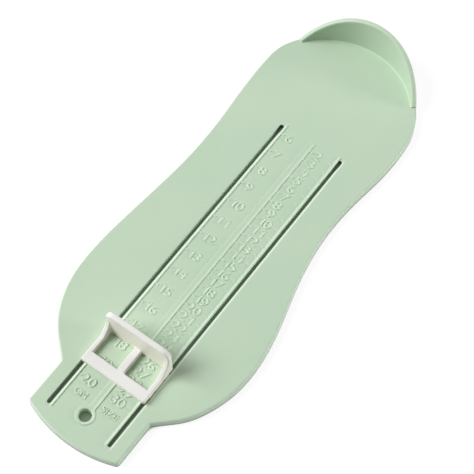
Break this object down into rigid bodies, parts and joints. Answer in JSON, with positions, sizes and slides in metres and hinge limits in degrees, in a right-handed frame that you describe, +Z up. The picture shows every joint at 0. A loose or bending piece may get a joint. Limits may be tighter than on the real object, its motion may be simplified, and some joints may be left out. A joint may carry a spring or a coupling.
{
  "type": "foot measuring device",
  "caption": "Flat foot-shaped gauge with a curved heel wall, raised length scales and a toe slider that runs in two slots.",
  "frame": {"origin": "on the table, on the line midway between the two slots, halfway along the object", "axes": "+Z up from the table, +Y along the length from the toe end to the heel wall, +X to the right with the heel away from the reader"},
  "size_m": [0.0873, 0.2286, 0.0215],
  "materials": {
    "plate_plastic": "fine satin moulding in pale sage green",
    "slider_plastic": "fine satin moulding in warm white"
  },
  "bodies": {
    "plate": {"foot_plate": "plate_plastic"},
    "slider": {"toe_slider": "slider_plastic"}
  },
  "joints": [
    {"name": "slider_travel", "type": "slide", "parent": "plate", "child": "slider", "axis": [0, 1, 0], "range_m": [-0.0251, 0.1225]}
  ]
}
